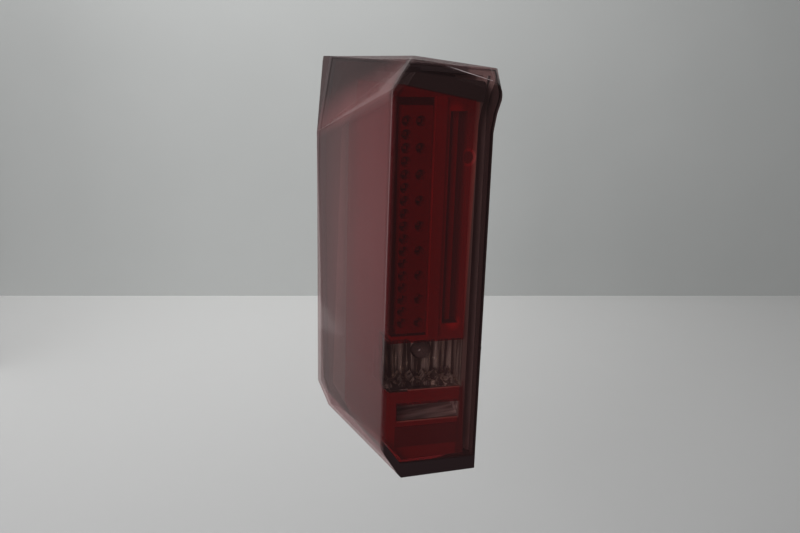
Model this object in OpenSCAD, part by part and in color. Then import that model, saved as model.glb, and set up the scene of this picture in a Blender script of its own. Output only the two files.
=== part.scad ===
// Tail light cluster for the left rear corner of a tall van, seen from behind at azimuth 0.
// +X points inboard, +Y points forward into the vehicle and +Z points up.

/* [Outer lens] */
// Height of the corner edge between the rear face and the side face
corner_edge_h = 382; // [350:1:410]
// Height of the peak above the top of the corner edge
peak_rise = 31.5; // [24:0.5:38]
// Depth of the bottom edge below the foot of the corner edge
foot_drop = 40; // [32:1:48]
// Width of the rear face at mid height
face_w = 105.5; // [98:0.5:112]
// Length of the side face along the vehicle
side_l = 204; // [190:1:216]
// Angle by which the rear face sweeps forward toward the outside, in degrees
face_sweep = 10; // [6:1:14]
// Angle by which the side face leans outward toward the front, in degrees
side_taper = 4; // [2:0.5:6]
// Angle by which the side face leans inward toward the top, in degrees
side_tumble = 0.8; // [0:0.1:1.5]
// Width of the slanted shoulder at the top of the rear face
top_chamfer_w = 20; // [16:1:26]
// Width of the slanted corner at the foot of the rear face
foot_chamfer_w = 24.5; // [18:0.5:30]
// Fall of the shoulder crease from the rear face to the front end
crease_fall = 59; // [45:1:70]
// Radius of the rounded inboard top corner
corner_r = 13.5; // [10:0.5:16]
// Wall thickness of the lens
lens_wall = 3; // [2.4:0.1:3.6]

/* [Housing] */
// Wall thickness of the housing
housing_wall = 2.5; // [2:0.1:3]
// Place of the housing's back wall forward of the corner edge
back_y = 85; // [80:1:95]
// Place of the housing's inboard wall
box_x = 113; // [111:0.5:115]
// Width of the glue rim that the lens sits in
rim_w = 7.5; // [6.5:0.5:8.5]
// Depth of the glue rim
rim_depth = 8; // [7:0.5:10]
// Thickness of the foam seal on the back wall
gasket_t = 6; // [4:0.5:8]

/* [Mounting ears] */
// Height of the middle between the two mounting holes above the middle of the corner edge
ear_mid_rise = 14; // [4:1:20]
// Distance between the two mounting holes
ear_pitch = 230; // [200:1:250]
// Place of the mounting holes across the vehicle
ear_x = 121; // [120:0.5:123]
// Place of the ears' bearing face forward of the corner edge
ear_y = 30; // [28:1:34]
// Thickness of a mounting ear
ear_t = 4; // [3.5:0.1:5]
// Bore of the steel sleeves, for an M6 screw
sleeve_bore_d = 6.6; // [6.4:0.1:7]
// Outside diameter of the steel sleeves
sleeve_d = 9; // [8.5:0.1:10]

/* [Lamps] */
// Number of lamps in the main column
led_count = 9; // [7:1:10]
// Height of the turn signal chamber
turn_h = 58; // [52:1:60]
// Height of the backup lamp chamber
backup_h = 22; // [20:1:24]
// Diameter of the turn signal bulb's glass
turn_bulb_d = 20; // [18:0.5:21]
// Diameter of the backup bulb's glass
backup_bulb_d = 15; // [13:0.5:16]
// Body diameter of the turn signal bulb holder
turn_holder_d = 28; // [26:0.5:30]
// Body diameter of the backup bulb holder
backup_holder_d = 24; // [22:0.5:25]

/* [Hidden] */
$fn = 48;
BIG = 700;
CUT = 1;
LENS_RED = [0.42, 0.05, 0.07];
SMOKE = [0.36, 0.22, 0.22];
BLACK = [0.09, 0.09, 0.10];
CHROME = [0.80, 0.80, 0.82];
STEEL = [0.66, 0.67, 0.69];
BRASS = [0.78, 0.62, 0.30];
CLEAR = [0.88, 0.90, 0.92];

// Key points of the outer form. The corner edge stands at the origin.
side_mid_rise = 16;
mid_z = corner_edge_h / 2 + side_mid_rise;
function side_x(y, z) = -tan(side_taper) * y + tan(side_tumble) * (z - mid_z);
function on_face(s, z) = [s * cos(face_sweep), -s * sin(face_sweep), z];
function edge_point(z) = on_face(side_x(0, z), z);
function on_side(y, z) = [side_x(y, z), y, z];

peak_z = corner_edge_h + peak_rise;
foot_z = -foot_drop;
inside_point = [face_w / 2, side_l / 5, corner_edge_h / 2];
edge_foot = edge_point(0);
edge_top = edge_point(corner_edge_h);
peak = on_face(edge_top.x + top_chamfer_w, peak_z);
foot_corner = on_face(edge_foot.x + foot_chamfer_w, foot_z);

// The roof cuts just under the peak, and the crease runs out just beyond the side's front end
roof_cut = 0.5;
roof_point = peak - [0, 0, roof_cut];
crease_run_out = 1.5;
front_drop = 25;
crease_end = on_side(side_l + crease_run_out, corner_edge_h - crease_fall);
front_point = on_side(side_l, crease_end.z - front_drop);

// Points at the front end of the foot facets and of the upper facet
foot_front_y = side_l - 6;
foot_front_rise = 7;
foot_front_w = 11;
side_foot_front = on_side(foot_front_y, -foot_front_rise);
foot_front = [side_foot_front.x + foot_front_w, foot_front_y - foot_front_w, foot_z];
tip_w = 9.5;
tip_drop = 1.5;
tip = [crease_end.x + tip_w, side_l, peak_z - tip_drop];

function unit(v) = v / norm(v);
function turned_out(n, p) = n * (p - inside_point) > 0 ? n : -n;
function plane_normal(a, b, c) = turned_out(unit(cross(b - a, c - a)), a);

face_out = [-sin(face_sweep), -cos(face_sweep), 0];
side_out = plane_normal(edge_foot, edge_top, crease_end);
shoulder_out = plane_normal(edge_top, peak, crease_end);
upper_out = plane_normal(peak, tip, crease_end);
foot_rear_out = plane_normal(edge_foot, foot_corner, foot_front);
foot_side_out = plane_normal(edge_foot, foot_front, side_foot_front);
roof_out = unit([0.1, 0.018, 1]);
floor_out = unit([0.029, 0, -1]);
front_out = unit([0, 1, -0.0167]);
front_foot_out = unit([0, 1, -0.338]);

// Everything behind one plane, which is moved inward by the inset
module half_space(through, outward, inset = 0) {
    translate(through - inset * outward)
        rotate([0, acos(outward.z), atan2(outward.y, outward.x)])
            translate([-BIG, -BIG, -BIG])
                cube([2 * BIG, 2 * BIG, BIG]);
}

// The face frame has X along the rear face, Y into the lamp and Z up
module face_frame() {
    rotate([0, 0, -face_sweep])
        children();
}

// A block given by its corners in the face frame
module face_block(s0, s1, d0, d1, z0, z1) {
    face_frame()
        translate([s0, d0, z0])
            cube([s1 - s0, d1 - d0, z1 - z0]);
}

// Inboard wall, top bevel and the round between them, drawn along the rounded corner's axis
wall_flat = 7;
corner_s = face_w - wall_flat;
corner_drop = 37.5;
corner_z = peak_z - corner_drop;
corner_tilt = 30;
corner_flare = 11;
bevel_slope = 19;
bevel_dir = [sin(bevel_slope), cos(bevel_slope)];

// The round stands a hair proud of the bevel and of the wall, so that it crosses both cleanly
corner_ease = 0.05;

// The wall leaves the round at the first depth, draws in to the flat and spreads again toward the foot
wall_depths = [4, 15, 30];
wall_lean = 0.2;
wall_swell = 2.6;
wall_spread = 4.6;
module corner_section(inset) {
    r = corner_r - inset;
    bevel_start = r > 0 ? (r - corner_ease) * bevel_dir : r * [1, (1 - bevel_dir.x) / bevel_dir.y];
    bevel_far = bevel_start + BIG * [-bevel_dir.y, bevel_dir.x];
    wall_start = r > 0 ? [r - corner_ease, 0] : [r, bevel_start.y - 1];
    wall_top = min(0, r);
    if (r > 0)
        circle(r, $fn = 64);
    polygon([
        bevel_far, bevel_start, wall_start,
        [r - wall_lean, wall_top - wall_depths[0]],
        [wall_flat + wall_swell - inset, wall_top - wall_depths[1]],
        [wall_flat - inset, wall_top - wall_depths[2]],
        [wall_flat + wall_spread - inset, -BIG],
        [-BIG, -BIG]
    ]);
}

module corner_prism(inset) {
    face_frame()
        translate([corner_s, 0, corner_z])
            rotate([corner_tilt, 0, -corner_flare])
                rotate([90, 0, 0])
                    linear_extrude(BIG, center = true)
                        corner_section(inset);
}

// The outer form of the whole lamp, with each face moved inward by the inset
module lens_form(inset = 0) {
    intersection() {
        corner_prism(inset);
        half_space([0, 0, 0], face_out, inset);
        half_space(edge_foot, side_out, inset);
        half_space(roof_point, roof_out, inset);
        half_space(foot_corner, floor_out, inset);
        half_space(front_point, front_out, inset);
        half_space(side_foot_front, front_foot_out, inset);
        half_space(edge_foot, foot_rear_out, inset);
        half_space(edge_foot, foot_side_out, inset);
        union() {
            half_space(edge_top, shoulder_out, inset);
            half_space(peak, upper_out, inset);
        }
    }
}

// The lens and the housing part along one upright plane from the inboard rim to the side's front end
rim_reach = 2.5;
rim_y = 12;
rim_inboard = [box_x + rim_reach, rim_y, 0];
rim_front = [crease_end.x, side_l, 0];
part_out = unit([rim_front.y - rim_inboard.y, rim_inboard.x - rim_front.x, 0]);
module before_parting(d = 0) {
    half_space(rim_inboard, part_out, -d);
}

module behind_parting(d = 0) {
    half_space(rim_inboard, -part_out, d);
}

module between_parting(d0, d1) {
    intersection() {
        behind_parting(d0);
        before_parting(d1);
    }
}

// Plan of the housing's skin: inboard wall, back wall and the wing that runs to the side's front end
wing_x = 28;
wing_in = 7;
wing_end = [-3, side_l - wing_in];
wing_angle = atan2(wing_x - wing_end.x, wing_end.y - back_y);
module skin_plan(inset = 0) {
    lean = inset * tan((90 - wing_angle) / 2);
    slide = inset / cos(wing_angle);
    translate([0, 0, -BIG / 2])
        linear_extrude(BIG * 1.6)
            polygon([
                [-BIG, -BIG], [box_x - inset, -BIG], [box_x - inset, back_y - inset],
                [wing_x - lean, back_y - inset], [wing_end.x - slide, wing_end.y],
                [-BIG, wing_end.y]
            ]);
}

// Ring that follows the lamp's outline between two insets
module outline_ring(inset_out, inset_in) {
    difference() {
        lens_form(inset_out);
        lens_form(inset_in);
    }
}

// Glued joint between lens and housing
joint_gap = 0.2;
tongue_out = 1.6;
tongue_in = 2.8;
tongue_l = 5;
tongue_root = 1;
groove_depth = 6.4;

// One moulding: rear face, side face, shoulder facets and returns, with a tongue on its rim
module outer_lens() {
    color(SMOKE) {
        intersection() {
            outline_ring(0, lens_wall);
            before_parting();
        }
        intersection() {
            outline_ring(tongue_out, tongue_in);
            between_parting(-tongue_root, tongue_l);
        }
    }
}

module lens_seal() {
    color("dimgray")
        intersection() {
            outline_ring(tongue_out, tongue_in);
            between_parting(tongue_l, groove_depth);
        }
}

module housing_rim() {
    difference() {
        intersection() {
            outline_ring(0, rim_w);
            between_parting(joint_gap, joint_gap + rim_depth);
        }
        intersection() {
            outline_ring(tongue_out - joint_gap, tongue_in + joint_gap);
            between_parting(joint_gap - CUT, groove_depth);
        }
    }
}

// Top and bottom walls between the rim and the skin
wall_inset = rim_w - housing_wall;
wall_lap = 6;
module housing_walls() {
    intersection() {
        outline_ring(wall_inset, rim_w);
        union() {
            intersection() {
                skin_plan();
                behind_parting(joint_gap);
            }
            difference() {
                before_parting(joint_gap + rim_depth);
                skin_plan(housing_wall);
                half_space([box_x - wall_lap, 0, 0], [-1, 0, 0]);
            }
        }
    }
}

skin_reach = 60;
module housing_skin() {
    intersection() {
        difference() {
            skin_plan();
            skin_plan(housing_wall);
        }
        lens_form(wall_inset);
        union() {
            behind_parting(joint_gap);
            half_space([wing_x + skin_reach, 0, 0], [1, 0, 0]);
        }
    }
}

// The two mounting ears on the inboard wall, each with two ribs
ear_mid_z = corner_edge_h / 2 + ear_mid_rise;
ear_z = [ear_mid_z - ear_pitch / 2, ear_mid_z + ear_pitch / 2];
ear_r = 8.5;
ear_low_reach = 2.5;
ear_rib_l = 16;
ear_rib_short = 4;
sleeve_gap = 0.05;
module ear_plate(z, reach) {
    rib = [ear_x - box_x - ear_rib_short, ear_rib_l, housing_wall];
    translate([ear_x, ear_y, z])
        rotate([90, 0, 0]) {
            translate([reach, 0, 0])
                cylinder(h = ear_t, r = ear_r);
            translate([box_x - CUT - ear_x, -ear_r, 0])
                cube([ear_x - box_x + CUT + reach, 2 * ear_r, ear_t]);
        }
    for (rib_z = [z - ear_r, z + ear_r - housing_wall])
        translate([box_x - CUT, ear_y - CUT, rib_z])
            cube(rib);
}

module ear_bore(z, d) {
    translate([ear_x, ear_y + CUT, z])
        rotate([90, 0, 0])
            cylinder(h = ear_t + 2 * CUT, d = d);
}

// Ports in the back wall. The bulbs and the connector enter along Y.
turn_z = 91;
backup_z = 35;
bulb_x = 63;
port_gap = 0.4;
connector_x = 56;
connector_rise = 24;
connector_z = corner_edge_h / 2 + connector_rise;
connector_w = 20;
connector_h = 16;
module back_port(x, z, d) {
    translate([x, back_y + CUT, z])
        rotate([90, 0, 0])
            cylinder(h = housing_wall + 2 * CUT, d = d);
}

// Screws that hold the bezel pass through the back wall at these places
bezel_screw_d = 4;
bezel_screw_l = 15;
bezel_screw_gap = 0.4;
bezel_bore_l = 18;
bezel_boss_d = 9;
bezel_boss_l = 26;
bezel_screw_x = [48, 98];
bezel_screw_in = [22, 28];
bezel_screw_z = [foot_z + bezel_screw_in[0], peak_z - bezel_screw_in[1]];

// Breather nipples on the back wall
vent_x = 96;
vent_in = [25, 30];
vent_z = [vent_in[0], corner_edge_h - vent_in[1]];
vent_d = 8;
vent_bore = 5;
vent_l = 9;

// Seats of the locating pins on the wing
pin_x = 12;
pin_in = [60, 42];
pin_z = [pin_in[0], corner_edge_h - pin_in[1]];
pin_d = 8;
pin_seat_d = 14;
pin_seat_in = 20;
pin_seat_y = side_l - pin_seat_in;
pin_seat_l = 46;
pin_stem_d = 5;
pin_stem_l = 12;
pin_stem_gap = 0.1;
pin_stem_end_gap = 0.3;
module pin_seat(z) {
    difference() {
        translate([pin_x, pin_seat_y, z])
            rotate([90, 0, 0])
                cylinder(h = pin_seat_l, d = pin_seat_d);
        skin_plan(housing_wall / 2);
    }
}

module housing() {
    color(BLACK)
        difference() {
            union() {
                housing_rim();
                housing_walls();
                housing_skin();
                ear_plate(ear_z[0], ear_low_reach);
                ear_plate(ear_z[1], 0);
                for (z = pin_z)
                    pin_seat(z);
                for (z = vent_z)
                    translate([vent_x, back_y + vent_l, z])
                        rotate([90, 0, 0])
                            cylinder(h = vent_l + CUT, d = vent_d);
            }
            for (z = ear_z)
                ear_bore(z, sleeve_d + 2 * sleeve_gap);
            back_port(bulb_x, turn_z, turn_holder_d + 2 * port_gap);
            back_port(bulb_x, backup_z, backup_holder_d + 2 * port_gap);
            translate([connector_x, back_y, connector_z])
                cube([connector_w + 2 * port_gap, 4 * housing_wall, connector_h + 2 * port_gap],
                    center = true);
            for (x = bezel_screw_x)
                for (z = bezel_screw_z)
                    back_port(x, z, bezel_screw_d + bezel_screw_gap);
            for (z = vent_z)
                translate([vent_x, back_y + vent_l + CUT, z])
                    rotate([90, 0, 0])
                        cylinder(h = vent_l + housing_wall + 2 * CUT, d = vent_bore);
            for (z = pin_z)
                translate([pin_x, pin_seat_y + CUT, z])
                    rotate([90, 0, 0])
                        cylinder(h = pin_stem_l + pin_stem_end_gap + CUT, d = pin_stem_d + pin_stem_gap);
        }
}

// Layers behind the rear face, as depths from its outer surface
red_out = 9;
red_in = 11;
bezel_out = 14;
bezel_in = 16;
cups_back = 28;
board_t = 1.6;
layer_gap = 0.3;
board_front = cups_back + layer_gap;

// Windows of the bezel, along the face. The tall ones end below the top of the corner edge.
turn_s = [4, 91];
turn_win_z = [turn_z - turn_h / 2, turn_z + turn_h / 2];
backup_s = [17, 89];
backup_win_z = [backup_z - backup_h / 2, backup_z + backup_h / 2];
reflex_s = [16, 88];
reflex_z = [-8, 17];
led_s = [15.5, 48];
led_z = [turn_win_z[1] + 8, corner_edge_h - 15];
guide_s = [49, 61];
guide_z = [turn_win_z[1] + 4, corner_edge_h - 6];
slot_s = [65, 83];
slot_z = [turn_win_z[1] + 18, corner_edge_h - 20];
slot_depth = 31;
slot_wall = 1.6;
window_reach = 4;

module face_window(s, z) {
    face_block(s[0], s[1], bezel_out - window_reach, bezel_in + window_reach, z[0], z[1]);
}

// Dark carrier that fills the lamp behind the lens and holds the lamps
module bezel_shell() {
    intersection() {
        outline_ring(bezel_out, bezel_in);
        skin_plan(housing_wall + layer_gap);
    }
}

// The lamp bay and the turn chamber also open toward the side face
side_reach = 30;
bay_gap = 2;
board_bay = 8;
module side_bays() {
    front = bezel_out - window_reach;
    face_block(0, led_s[1], front, board_front + board_bay, led_z[0] - bay_gap, led_z[1] + board_bay);
    face_block(-side_reach, side_reach, front, turn_depth + CUT,
        turn_win_z[0] - bay_gap, turn_win_z[1] + bay_gap);
}

module slot_box(front, grow) {
    face_block(slot_s[0] - grow, slot_s[1] + grow, front, slot_depth + grow,
        slot_z[0] - grow, slot_z[1] + grow);
}

board_z = [guide_z[0] - 0.5, guide_z[1]];
board_post_s = 55;
board_post_in = 4;
board_post_z = [board_z[0] + board_post_in, (board_z[0] + board_z[1]) / 2, board_z[1] - board_post_in];
board_post_d = 5;
board_screw_d = 2.6;
board_screw_l = 8;
board_screw_bite = 0.2;
post_root = 0.5;
module at_board_posts(d) {
    face_frame()
        for (z = board_post_z)
            translate([board_post_s, d, z])
                rotate([-90, 0, 0])
                    children();
}

// Bosses for the screws that come through the housing's back wall, each on a rib
boss_rib_t = 3;
boss_rib_h = 24;
module bezel_bosses() {
    boss_y = back_y - housing_wall - layer_gap;
    intersection() {
        for (x = bezel_screw_x)
            for (i = [0, 1])
                translate([x, boss_y, bezel_screw_z[i]])
                    rotate([90, 0, 0]) {
                        cylinder(h = bezel_boss_l, d = bezel_boss_d);
                        translate([-boss_rib_t / 2, (i - 1) * boss_rib_h, 0])
                            cube([boss_rib_t, boss_rib_h, bezel_boss_l]);
                    }
        lens_form(bezel_out);
    }
}

module inner_bezel() {
    color([0.16, 0.05, 0.06])
        difference() {
            union() {
                bezel_shell();
                slot_box(bezel_out + post_root, slot_wall);
                at_board_posts(bezel_in - post_root)
                    cylinder(h = board_front - bezel_in + post_root, d = board_post_d);
                bezel_bosses();
            }
            slot_box(bezel_out - window_reach, 0);
            side_bays();
            face_window(turn_s, turn_win_z);
            face_window(backup_s, backup_win_z);
            at_board_posts(board_front - board_screw_l)
                cylinder(h = board_screw_l + CUT, d = board_screw_d - board_screw_bite);
            for (x = bezel_screw_x)
                for (z = bezel_screw_z)
                    translate([x, back_y, z])
                        rotate([90, 0, 0])
                            cylinder(h = bezel_bore_l, d = bezel_screw_d);
        }
}

// Red inner lens with openings for the clear chambers
red_curve_r = 4000;
red_waist_s = 87;
red_waist_z = corner_edge_h * 0.65;
red_side_y = 126;
red_foot_z = -26;
red_top = [10, 0, corner_edge_h + 6];
red_top_slope = 0.19;
module red_window(s, z) {
    face_block(s[0], s[1], -side_reach, red_in + side_reach / 2, z[0], z[1]);
}

module red_inner_lens() {
    color(LENS_RED)
        difference() {
            intersection() {
                outline_ring(red_out, red_in);
                skin_plan(housing_wall + joint_gap);
                half_space([0, red_side_y, 0], [0, 1, 0]);
                half_space([0, 0, red_foot_z], [0, 0, -1]);
                half_space(red_top, unit([red_top_slope, 0, 1]));
            }
            face_frame()
                translate([red_waist_s + red_curve_r, side_l, red_waist_z])
                    rotate([90, 0, 0])
                        cylinder(h = 2 * side_l, r = red_curve_r, $fn = 360);
            red_window([-side_reach, turn_s[1]], turn_win_z);
            red_window(backup_s, backup_win_z);
        }
}

// Places of the lamps: a main column and a finer second column beside it
led_end_gap = [12, 15];
led_pitch = (led_z[1] - led_z[0] - led_end_gap[0] - led_end_gap[1]) / (led_count - 1);
lead_z = led_z[0] + led_end_gap[0];
main_s = 40;
main_lean = 0.5;
fine_s = 21.5;
fine_count = 2 * led_count - 1;
fine_pitch = led_pitch / 2;
module at_leds() {
    face_frame() {
        for (i = [0 : led_count - 1])
            translate([main_s - i * main_lean, 0, lead_z + i * led_pitch])
                children();
        for (i = [0 : fine_count - 1])
            translate([fine_s, 0, lead_z + i * fine_pitch])
                children();
    }
}

cup_front_r = 5.4;
cup_back_r = 3.8;
module lamp_cups() {
    color(LENS_RED)
        difference() {
            face_block(led_s[0], led_s[1] - layer_gap, bezel_in + layer_gap, cups_back, led_z[0], led_z[1]);
            at_leds()
                translate([0, bezel_in, 0])
                    rotate([-90, 0, 0])
                        cylinder(h = cups_back - bezel_in + CUT, r1 = cup_front_r, r2 = cup_back_r);
        }
}

// The board's upper outer corner is cut away beside the lens's shoulder
board_s = [19, 62.5];
board_back = board_front + board_t;
board_notch_s = 30;
board_hole_gap = 0.4;
module led_board() {
    color("darkgreen")
        difference() {
            face_block(board_s[0], board_s[1], board_front, board_back, board_z[0], board_z[1]);
            face_block(0, board_notch_s, board_front - CUT, board_back + CUT, led_z[1], board_z[1] + CUT);
            at_board_posts(board_front - CUT)
                cylinder(h = board_t + 2 * CUT, d = board_screw_d + board_hole_gap);
        }
}

led_w = 4;
led_t = 1.8;
module leds() {
    color("gold")
        at_leds()
            translate([-led_w / 2, board_front - led_t, -led_w / 2])
                cube([led_w, led_t, led_w]);
}

// Driver, regulator, resistors and capacitors on the rear of the board
part_s = 36;
driver = [12, 2.4, 16];
regulator = [6, 1.8, 8];
regulator_rise = 22;
resistor = [3.2, 1.2, 1.6];
resistor_s = 22.6;
capacitor_d = 6.3;
capacitor_l = 6;
capacitor_in = 36;
module board_part(s, z, size) {
    face_block(s - size.x / 2, s + size.x / 2, board_back, board_back + size.y,
        z - size.z / 2, z + size.z / 2);
}

module board_components() {
    color(BLACK) {
        board_part(part_s, board_post_z[1] - board_post_in, driver);
        board_part(part_s, board_post_z[1] - board_post_in + regulator_rise, regulator);
        for (i = [0 : led_count - 2])
            board_part(resistor_s, lead_z + i * led_pitch, resistor);
        for (z = [led_z[0] + capacitor_in, led_z[1] - capacitor_in])
            face_frame()
                translate([part_s, board_back, z])
                    rotate([-90, 0, 0])
                        cylinder(h = capacitor_l, d = capacitor_d);
    }
}

guide_t = 2.4;
module light_guide() {
    color(LENS_RED)
        face_block(guide_s[0], guide_s[1], bezel_out - layer_gap - guide_t, bezel_out - layer_gap,
            guide_z[0], guide_z[1]);
}

// Bar of the side lamp, snapped into the bottom of the tall slot
bar_s = [71, 77];
bar_t = 4.9;
snap_gap = 0.1;
bar_end_gap = 0.2;
module side_light_bar() {
    color("indianred")
        face_block(bar_s[0], bar_s[1], slot_depth - snap_gap - bar_t, slot_depth - snap_gap,
            slot_z[0] + bar_end_gap, slot_z[1] - bar_end_gap);
}

// Open box with a fluted back, its rim against the rear of the bezel
flute_r = 6.5;
flute_back = 8;
flute_land = 0.6;
reflector_wall = 1.5;
module fluted_box(s, z, depth, count) {
    pitch = (s[1] - s[0]) / count;
    difference() {
        face_block(s[0] - reflector_wall, s[1] + reflector_wall, bezel_in + layer_gap, depth,
            z[0] - reflector_wall, z[1] + reflector_wall);
        face_block(s[0], s[1], bezel_in, depth - flute_back, z[0], z[1]);
        face_frame()
            for (i = [0 : count - 1])
                translate([s[0] + (i + 0.5) * pitch, depth - flute_back, z[0]])
                    intersection() {
                        translate([(flute_land - pitch) / 2, -CUT, 0])
                            cube([pitch - flute_land, flute_back, z[1] - z[0]]);
                        cylinder(h = z[1] - z[0], r = flute_r);
                    }
    }
}

// Chamber of the turn signal, with a row of bright teeth along its floor
turn_depth = 58;
teeth = 6;
tooth_w = (turn_s[1] - turn_s[0]) / teeth;
tooth_r = 7;
tooth_in = 6;
tooth_sink = 0.5;
tooth_z = turn_win_z[0] - tooth_sink;
tooth_l = turn_depth - bezel_in - 2 * tooth_in;
bulb_gap = 4;
bulb_cut = 60;
module turn_reflector() {
    color(CHROME)
        difference() {
            union() {
                intersection() {
                    fluted_box(turn_s, turn_win_z, turn_depth, teeth);
                    lens_form(red_in + CUT);
                }
                face_frame()
                    for (i = [0 : teeth - 1])
                        translate([turn_s[0] + (i + 0.5) * tooth_w, bezel_in + tooth_in, tooth_z])
                            rotate([-90, 0, 0])
                                rotate([0, 0, 30])
                                    cylinder(h = tooth_l, r = tooth_r, $fn = 3);
            }
            face_block(turn_s[0], turn_s[1], 0, turn_depth,
                turn_win_z[0] - 2 * tooth_r, turn_win_z[0] - reflector_wall);
            translate([bulb_x, back_y, turn_z])
                rotate([90, 0, 0])
                    cylinder(h = bulb_cut, d = turn_bulb_d + bulb_gap);
        }
}

backup_depth = 56;
backup_flutes = 5;
backup_bulb_gap = 3;
module backup_reflector() {
    color(CHROME)
        difference() {
            fluted_box(backup_s, backup_win_z, backup_depth, backup_flutes);
            translate([bulb_x, back_y, backup_z])
                rotate([90, 0, 0])
                    cylinder(h = bulb_cut, d = backup_bulb_d + backup_bulb_gap);
        }
}

// Wedge bulb, drawn pointing to -Y from its seat at the origin. Its flat foot is a share of its width.
foot_share = 0.8;
foot_l = 9;
foot_t = 4.8;
module wedge_bulb(d, l) {
    rotate([90, 0, 0]) {
        cylinder(h = l - d / 2, d = d);
        translate([0, 0, l - d / 2])
            sphere(d = d);
    }
    translate([-d * foot_share / 2, -CUT, -foot_t / 2])
        cube([d * foot_share, foot_l + CUT, foot_t]);
}

holder_reach = 14;
holder_face_y = back_y - holder_reach;
turn_bulb_l = 38;
backup_bulb_l = 27;
module turn_bulb() {
    color(CLEAR)
        translate([bulb_x, holder_face_y - layer_gap, turn_z])
            wedge_bulb(turn_bulb_d, turn_bulb_l);
}

module backup_bulb() {
    color(CLEAR)
        translate([bulb_x, holder_face_y - layer_gap, backup_z])
            wedge_bulb(backup_bulb_d, backup_bulb_l);
}

// Twist-in bulb holder: barrel, locking lugs behind the wall, cap and connector socket
cap_t = 5;
cap_rim = 10;
seal_ring_t = 1.6;
seal_rim = 8;
lug_t = 2.5;
lug_w = 8;
lug_rim = 6;
lug_gap = 0.2;
socket_l = 16;
socket_w = 12;
socket_h = 9;
socket_wall = 1.6;
socket_depth = 12;
slot_gap = 0.4;
slot_l = 10;
blade = [0.8, 1.8];
blade_gap = 0.4;
blade_x = [-2.2, 2.2];
blade_in = 11;
blade_short = 5;
cap_y = back_y + seal_ring_t;
module bulb_holder(d, bulb_d) {
    slot_w = bulb_d * foot_share + slot_gap;
    slot_h = foot_t + slot_gap;
    difference() {
        union() {
            translate([0, cap_y + CUT, 0])
                rotate([90, 0, 0])
                    cylinder(h = cap_y + CUT - holder_face_y, d = d);
            translate([0, cap_y + cap_t, 0])
                rotate([90, 0, 0])
                    cylinder(h = cap_t, d = d + cap_rim);
            intersection() {
                translate([0, back_y - housing_wall - lug_gap, 0])
                    rotate([90, 0, 0])
                        cylinder(h = lug_t, d = d + lug_rim);
                for (a = [0 : 120 : 240])
                    translate([0, back_y - housing_wall, 0])
                        rotate([0, a, 0])
                            translate([0, -lug_t - CUT, -lug_w / 2])
                                cube([d, lug_t + 2 * CUT, lug_w]);
            }
            translate([-socket_w / 2, cap_y, -socket_h / 2])
                cube([socket_w, cap_t + socket_l, socket_h]);
        }
        translate([-slot_w / 2, holder_face_y - CUT, -slot_h / 2])
            cube([slot_w, slot_l + CUT, slot_h]);
        translate([socket_wall - socket_w / 2, cap_y + cap_t + socket_l, socket_wall - socket_h / 2])
            translate([0, -socket_depth, 0])
                cube([socket_w - 2 * socket_wall, socket_depth + CUT, socket_h - 2 * socket_wall]);
        for (x = blade_x)
            translate([x - (blade.x + blade_gap) / 2, holder_face_y + blade_in, -(blade.y + blade_gap) / 2])
                cube([blade.x + blade_gap, bulb_cut, blade.y + blade_gap]);
    }
}

module turn_bulb_holder() {
    color("dimgray")
        translate([bulb_x, 0, turn_z])
            bulb_holder(turn_holder_d, turn_bulb_d);
}

module backup_bulb_holder() {
    color("dimgray")
        translate([bulb_x, 0, backup_z])
            bulb_holder(backup_holder_d, backup_bulb_d);
}

module seal_ring(d) {
    translate([0, back_y + seal_ring_t, 0])
        rotate([90, 0, 0])
            difference() {
                cylinder(h = seal_ring_t, d = d + seal_rim);
                translate([0, 0, -CUT])
                    cylinder(h = seal_ring_t + 2 * CUT, d = d + 2 * port_gap);
            }
}

module turn_holder_seal() {
    color("darkorange")
        translate([bulb_x, 0, turn_z])
            seal_ring(turn_holder_d);
}

module backup_holder_seal() {
    color("darkorange")
        translate([bulb_x, 0, backup_z])
            seal_ring(backup_holder_d);
}

// Two contact blades, from the bulb's foot to the connector socket
module holder_contacts() {
    start = holder_face_y + blade_in + blade_gap / 2;
    for (x = blade_x)
        translate([x - blade.x / 2, start, -blade.y / 2])
            cube([blade.x, cap_y + cap_t + socket_l - blade_short - start, blade.y]);
}

module turn_holder_contacts() {
    color(BRASS)
        translate([bulb_x, 0, turn_z])
            holder_contacts();
}

module backup_holder_contacts() {
    color(BRASS)
        translate([bulb_x, 0, backup_z])
            holder_contacts();
}

// Prism plate in front of the bezel, with upright grooves in its rear
reflex_t = 1.8;
groove_count = 9;
groove_w = 1.5;
groove_t = 0.6;
groove_in = [3, 2];
module reflex_reflector() {
    back = bezel_out - layer_gap;
    groove_pitch = (reflex_s[1] - reflex_s[0] - 2 * groove_in[0] + groove_w) / groove_count;
    color(LENS_RED)
        difference() {
            face_block(reflex_s[0], reflex_s[1], back - reflex_t, back, reflex_z[0], reflex_z[1]);
            for (i = [0 : groove_count - 1]) {
                s = reflex_s[0] + groove_in[0] + i * groove_pitch;
                face_block(s, s + groove_w, back - groove_t, back + CUT,
                    reflex_z[0] + groove_in[1], reflex_z[1] - groove_in[1]);
            }
        }
}

// Foam frame that seals the back wall against the vehicle body
gasket_w = 7;
gasket_edge = 1;
gasket_in = [3, 17];
gasket_x = [wing_x + gasket_w, box_x - gasket_edge];
gasket_z = [foot_z + rim_w + gasket_in[0], peak_z - gasket_in[1]];
module body_gasket() {
    width = gasket_x[1] - gasket_x[0];
    height = gasket_z[1] - gasket_z[0];
    color([0.2, 0.2, 0.21])
        difference() {
            translate([gasket_x[0], back_y, gasket_z[0]])
                cube([width, gasket_t, height]);
            translate([gasket_x[0] + gasket_w, back_y - CUT, gasket_z[0] + gasket_w])
                cube([width - 2 * gasket_w, gasket_t + 2 * CUT, height - 2 * gasket_w]);
        }
}

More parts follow.
